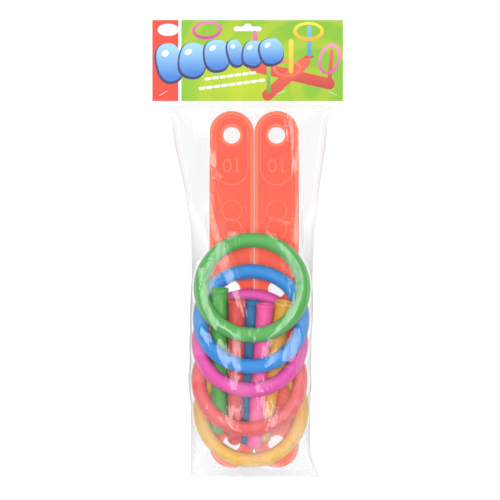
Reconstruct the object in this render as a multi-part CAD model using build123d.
"""Ring toss set in its retail pack: two half-lapped cross arms, five pegs and five rings lying in a clear
bag, with a folded and stapled header card.

Frame: the pack lies on its back. +Z is up, +Y runs to the header card, +X is the right-hand side seen from
above. The origin is the bottom centre of the whole pack. Millimetres.
"""
import os
from math import cos, radians, sin

from build123d import *

# ---------------------------------------------------------------- driving dimensions
FILM_T = 0.4            # bag film, stand-in thickness

ARM_L, ARM_W, ARM_T = 410.0, 51.0, 11.6
ARM_X = {"arm_left": -18.4, "arm_right": 33.3}
ARM_Y = -46.0
HOLE_R = 9.8            # peg sockets
HOLE_PITCH = 177.5      # end socket to middle socket
RIM_W, FIELD_D = 4.6, 1.2
EDGE_R, HOLE_CHAMFER = 1.5, 0.7
SKIN, WALL = 2.2, 2.2   # moulded top skin and side wall
BOSS_R = 13.0
LAP_L = 52.0            # length of the half-lap notch
RIB_PITCH, RIB_T, RIBS = 29.0, 2.0, 4    # cross ribs under each half
EMBOSS_H, EMBOSS_W = 0.9, 1.4       # raised lines on each arm half
PANEL_INSET, PANEL_FOOT_Y = 1.5, 119.5
SCORE_Y, SCORE_H = 142.5, 15.5
LOOP_Y, LOOP_R = (90.6, 69.4), 12.2

RING_R, TUBE_R, TUBE_WALL = 57.5, 8.5, 1.5

PEG_L, PEG_WALL = 168.0, 1.5
PEG_BASE_R, PEG_TIP_R = 9.6, 8.4
FLARE_R, FLARE_H = 10.4, 4.0

CARD_W, CARD_H, CARD_T = 220.0, 93.4, 0.5
CARD_BACK_Z, CARD_FRONT_Z = 0.6, 2.3
CARD_TOP_Y = 264.6
SLOT_W, SLOT_H, SLOT_BUMP_R = 32.0, 5.4, 6.0
SLOT_Y = 254.5

STAPLE_WIRE, STAPLE_CROWN, STAPLE_CLINCH = 0.6, 10.0, 3.8

# Where each ring lies: centre x, y, z and the pitch that lifts its foot end.
RINGS = {
    "ring_green": (5.0, -42.5, 58.5, 22.0),
    "ring_blue": (4.0, -78.0, 53.0, 23.0),
    "ring_magenta": (2.5, -105.5, 45.5, 24.5),
    "ring_red": (2.0, -148.0, 42.5, 19.0),
    "ring_yellow": (4.0, -184.0, 21.0, 0.0),
}
# Where each peg lies: centre of its open base x, y, z, then its heading from -Y and its dip to the tip.
PEGS = {
    "peg_green": (-32.0, -44.0, 58.0, 0.0, 8.0),
    "peg_red": (-12.0, -56.5, 64.5, -1.0, 9.0),
    "peg_blue": (4.5, -57.5, 50.5, -2.5, 9.0),
    "peg_magenta": (20.0, -61.5, 65.0, -4.5, 9.0),
    "peg_yellow": (40.5, -59.0, 58.5, -8.0, 12.5),
}
# The bag's outline along its length: y, left x, right x, underside z, top z, upper corner radius.
BAG = (
    (246.0, -106.0, 106.0, 1.2, 2.2, 0.45),
    (170.8, -106.0, 106.0, 1.2, 2.2, 0.45),
    (168.0, -96.0, 99.0, 0.9, 4.6, 1.4),
    (161.0, -89.5, 93.5, 0.0, 13.5, 6.0),
    (120.0, -84.0, 90.0, 0.0, 15.0, 7.0),
    (66.0, -72.0, 82.0, 0.0, 21.0, 10.0),
    (22.0, -65.5, 77.0, 0.0, 47.5, 18.0),
    (-40.0, -64.5, 74.5, 0.0, 79.0, 26.0),
    (-92.0, -64.5, 73.5, 0.0, 90.5, 30.0),
    (-106.0, -65.0, 73.0, 0.0, 90.5, 30.0),
    (-158.0, -65.5, 72.5, 0.0, 81.0, 26.0),
    (-213.0, -65.5, 72.0, 0.0, 71.5, 26.0),
    (-236.0, -65.5, 72.5, 0.0, 40.0, 12.0),
    (-252.0, -65.5, 78.0, 0.0, 24.0, 8.0),
    (-264.6, -65.5, 83.5, 0.0, 1.3, 0.45),
)
STAPLES = ((-97.5, 180.0, 31.0), (38.5, 181.0, 15.0), (98.0, 180.0, -28.0))   # x, y, turn


# ---------------------------------------------------------------- arms
def slot_plate(length, width, z_low, z_high):
    """A round-ended bar along Y between two heights."""
    return Pos(0, 0, z_low) * extrude(SlotOverall(length, width, rotation=90), z_high - z_low)


def outline(sketch, z_low):
    """A raised line that follows a closed sketch."""
    return Pos(0, 0, z_low) * extrude(sketch - offset(sketch, -EMBOSS_W), EMBOSS_H)


def emboss(z_low):
    """Raised lines of one arm half: the panel round the socket, the score and two linked loops."""
    panel_w = ARM_W - 2 * (RIM_W + PANEL_INSET)
    round_y = ARM_L / 2 - ARM_W / 2
    panel_h = round_y + panel_w / 2 - PANEL_FOOT_Y
    panel = Pos(0, PANEL_FOOT_Y + panel_h / 2) * SlotOverall(panel_h, panel_w, rotation=90)
    lines = outline(panel, z_low)
    nought = Ellipse(5.2, SCORE_H / 2) - Ellipse(3.2, SCORE_H / 2 - 2)
    one = Rectangle(2.1, SCORE_H) + Pos(1.2, 1 - SCORE_H / 2) * Rectangle(3.4, 2)
    score = Pos(-5.0, SCORE_Y) * nought + Pos(6.2, SCORE_Y) * one
    lines += Pos(0, 0, z_low) * extrude(score, EMBOSS_H)
    for y in LOOP_Y:
        lines += outline(Pos(0, y) * Circle(LOOP_R), z_low)
    return lines


def make_arm(notch_on_top):
    """One cross arm: a round-ended tray moulding with three sockets and a half-lap notch."""
    field_z = ARM_T - FIELD_D
    arm = slot_plate(ARM_L, ARM_W, 0, ARM_T)
    arm = fillet(arm.edges().group_by(Axis.Z)[-1], EDGE_R)
    arm -= slot_plate(ARM_L - 2 * RIM_W, ARM_W - 2 * RIM_W, field_z, ARM_T + 1)
    hollow = slot_plate(ARM_L - 2 * WALL, ARM_W - 2 * WALL, -1, field_z - SKIN)
    hollow -= Box(ARM_W, LAP_L + 2 * RIB_T, 3 * ARM_T)
    for end in (1, -1):
        hollow -= Pos(0, end * HOLE_PITCH, 0) * Cylinder(BOSS_R, 3 * ARM_T)
        for rib in range(1, RIBS + 1):
            hollow -= Pos(0, end * (LAP_L / 2 + RIB_T + rib * RIB_PITCH)) * Box(ARM_W, RIB_T, 3 * ARM_T)
    arm -= hollow
    for end in (0, 180):
        arm += Rot(Z=end) * emboss(field_z)
        arm += Rot(Z=end) * Pos(0, HOLE_PITCH, field_z + FIELD_D / 2) * Cylinder(BOSS_R, FIELD_D)
    notch_z = ARM_T / 2 if notch_on_top else -ARM_T / 2
    arm -= Pos(0, 0, notch_z + ARM_T / 2) * Box(ARM_W + 2, LAP_L, ARM_T)
    for y in (-HOLE_PITCH, 0, HOLE_PITCH):
        rim_z = ARM_T / 2 if notch_on_top and y == 0 else ARM_T
        arm -= Pos(0, y, 0) * Cylinder(HOLE_R, 4 * ARM_T)
        arm -= Pos(0, y, rim_z) * Cone(HOLE_R - HOLE_CHAMFER, HOLE_R + HOLE_CHAMFER, 2 * HOLE_CHAMFER)
    return arm


# ---------------------------------------------------------------- rings and pegs
def make_ring():
    """A hollow blow-moulded quoit lying in XY."""
    return Torus(RING_R, TUBE_R) - Torus(RING_R, TUBE_R - TUBE_WALL)


def make_peg():
    """A tapered tube along +Z: flared open base at z = 0, domed tip at z = PEG_L."""
    dome_z = PEG_L - PEG_TIP_R
    tip_in = PEG_TIP_R - PEG_WALL
    outer = Polyline((FLARE_R - PEG_WALL, 0), (FLARE_R, 0), (FLARE_R, FLARE_H), (PEG_BASE_R, FLARE_H + 3),
                     (PEG_TIP_R, dome_z))
    half = sin(radians(45))
    dome = ThreePointArc((PEG_TIP_R, dome_z), (PEG_TIP_R * half, dome_z + PEG_TIP_R * half), (0, PEG_L))
    axis = Line((0, PEG_L), (0, PEG_L - PEG_WALL))
    dome_in = ThreePointArc((0, PEG_L - PEG_WALL), (tip_in * half, dome_z + tip_in * half), (tip_in, dome_z))
    inner = Polyline((tip_in, dome_z), (PEG_BASE_R - PEG_WALL, FLARE_H + 3), (FLARE_R - PEG_WALL, 0))
    return revolve(Plane.XZ * make_face(outer + dome + axis + dome_in + inner), Axis.Z)


def peg_plane(x, y, z, heading, dip):
    """Plane at a peg's base whose z_dir points to its tip."""
    flat = cos(radians(dip))
    tip = (flat * sin(radians(heading)), -flat * cos(radians(heading)), -sin(radians(dip)))
    return Plane(origin=(x, y, z), z_dir=tip)


# ---------------------------------------------------------------- packaging
def bag_section(station, inset):
    """One cross-section of the bag: flat underside, upright sides, rounded upper corners."""
    y, left, right, low, high, radius = station
    left, right, low, high = left + inset, right - inset, low + inset, high - inset
    radius = max(radius - inset, 0.02)
    k = radius * (1 - cos(radians(45)))
    plane = Plane(origin=(0, y, 0), x_dir=(1, 0, 0), z_dir=(0, -1, 0))
    edges = Line((left, low), (right, low)) + Line((right, low), (right, high - radius))
    edges += ThreePointArc((right, high - radius), (right - k, high - k), (right - radius, high))
    edges += Line((right - radius, high), (left + radius, high))
    edges += ThreePointArc((left + radius, high), (left + k, high - k), (left, high - radius))
    edges += Line((left, high - radius), (left, low))
    return plane * make_face(edges)


def make_bag():
    """The clear bag: a tube of film sealed at its foot, its flat mouth inside the card."""
    outer = loft([bag_section(s, 0) for s in BAG], ruled=True)
    mouth = (BAG[0][0] + 1,) + BAG[0][1:]
    foot = (BAG[-1][0] + 1.5,) + BAG[-1][1:]
    inner = loft([bag_section(s, FILM_T) for s in (mouth,) + BAG[1:-1] + (foot,)], ruled=True)
    return outer - inner - staple_holes()


def make_card():
    """The header card: one sheet folded along its top edge, with a hang slot through both panels."""
    mid_y = CARD_TOP_Y - CARD_H / 2
    back = Pos(0, mid_y, CARD_BACK_Z + CARD_T / 2) * Box(CARD_W, CARD_H, CARD_T)
    front = Pos(0, mid_y, CARD_FRONT_Z + CARD_T / 2) * Box(CARD_W, CARD_H, CARD_T)
    fold_h = CARD_FRONT_Z + CARD_T - CARD_BACK_Z
    fold = Pos(0, CARD_TOP_Y - CARD_T / 2, CARD_BACK_Z + fold_h / 2) * Box(CARD_W, CARD_T, fold_h)
    hump = Circle(SLOT_BUMP_R) - Pos(0, -SLOT_BUMP_R) * Rectangle(3 * SLOT_BUMP_R, 2 * SLOT_BUMP_R)
    hang = SlotOverall(SLOT_W, SLOT_H) + hump
    return back + front + fold - Pos(0, SLOT_Y, -1) * extrude(hang, 6) - staple_holes()


def at_staples(shape):
    """Copies of a shape at the three staple positions."""
    return [Pos(x, y, 0) * Rot(Z=turn) * shape for x, y, turn in STAPLES]


def staple_holes():
    """The pricked holes that the staples' legs pass through."""
    pair = [Pos(side * (STAPLE_CROWN - STAPLE_WIRE) / 2, 0, 1.5) * Box(0.9, 0.9, 6) for side in (1, -1)]
    return Part() + [hole for leg in pair for hole in at_staples(leg)]


def make_staples():
    """Three wire staples: crown on the card's face, legs clinched flat behind it."""
    top = CARD_FRONT_Z + CARD_T + STAPLE_WIRE
    wire = Pos(0, 0, top - STAPLE_WIRE / 2) * Box(STAPLE_CROWN, STAPLE_WIRE, STAPLE_WIRE)
    for side in (1, -1):
        leg_x = side * (STAPLE_CROWN - STAPLE_WIRE) / 2
        wire += Pos(leg_x, 0, top / 2) * Box(STAPLE_WIRE, STAPLE_WIRE, top)
        wire += Pos(side * (STAPLE_CROWN - STAPLE_CLINCH) / 2, 0, STAPLE_WIRE / 2 - 0.02) * Box(
            STAPLE_CLINCH, STAPLE_WIRE, STAPLE_WIRE - 0.04)
    return Compound(children=at_staples(wire))


# ---------------------------------------------------------------- build
def build():
    """Every node of the row, each in its packed position."""
    nodes = {}
    for name, x in ARM_X.items():
        nodes[name] = Pos(x, ARM_Y, FILM_T) * make_arm(notch_on_top=name == "arm_left")
    ring, peg = make_ring(), make_peg()
    for name, (x, y, z, pitch) in RINGS.items():
        nodes[name] = Pos(x, y, z) * Rot(X=-pitch) * ring
    for name, placing in PEGS.items():
        nodes[name] = peg_plane(*placing).location * peg
    nodes["bag_film"] = make_bag()
    nodes["header_card"] = make_card()
    nodes["staples"] = make_staples()
    return nodes


if __name__ == "__main__":
    os.makedirs("parts", exist_ok=True)
    for node, shape in build().items():
        export_step(shape, f"parts/{node}.step")
